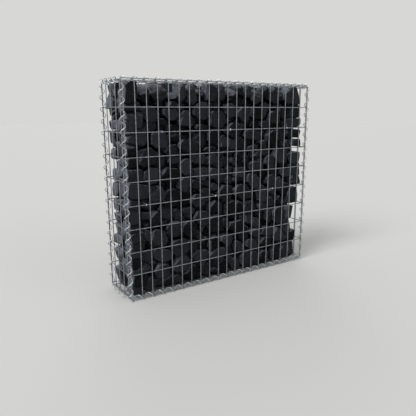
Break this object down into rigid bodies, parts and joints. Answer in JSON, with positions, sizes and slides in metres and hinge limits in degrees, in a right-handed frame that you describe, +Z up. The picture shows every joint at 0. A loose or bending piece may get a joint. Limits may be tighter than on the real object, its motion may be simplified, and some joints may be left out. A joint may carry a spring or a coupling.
{
  "type": "gabion wall",
  "caption": "Free-standing narrow gabion wall: a welded wire mesh basket joined along its edges with spiral coils, tied front to back and filled with dark stone.",
  "frame": {"origin": "centre of the bounding box at ground level, under the two bottom coils that the basket stands on", "axes": "+X along the wall to the right seen from the front, +Y through the wall to the back, +Z up"},
  "size_m": [1.0382, 0.237, 0.9371],
  "materials": {
    "mesh_wire": "galvanised satin",
    "coil_wire": "galvanised satin",
    "tie_wire": "galvanised satin",
    "stone": "matte broken basalt"
  },
  "bodies": {
    "root": {"front_panel": "mesh_wire", "back_panel": "mesh_wire", "left_end_panel": "mesh_wire", "right_end_panel": "mesh_wire", "lid_panel": "mesh_wire", "base_panel": "mesh_wire", "front_left_corner_coil": "coil_wire", "front_right_corner_coil": "coil_wire", "back_left_corner_coil": "coil_wire", "back_right_corner_coil": "coil_wire", "front_bottom_coil": "coil_wire", "back_bottom_coil": "coil_wire", "front_top_coil": "coil_wire", "back_top_coil": "coil_wire", "left_bottom_coil": "coil_wire", "right_bottom_coil": "coil_wire", "left_top_coil": "coil_wire", "right_top_coil": "coil_wire", "lower_left_tie": "tie_wire", "lower_middle_tie": "tie_wire", "lower_right_tie": "tie_wire", "upper_left_tie": "tie_wire", "upper_middle_tie": "tie_wire", "upper_right_tie": "tie_wire", "lower_stone_lift": "stone", "middle_stone_lift": "stone", "upper_stone_lift": "stone"}
  },
  "joints": []
}
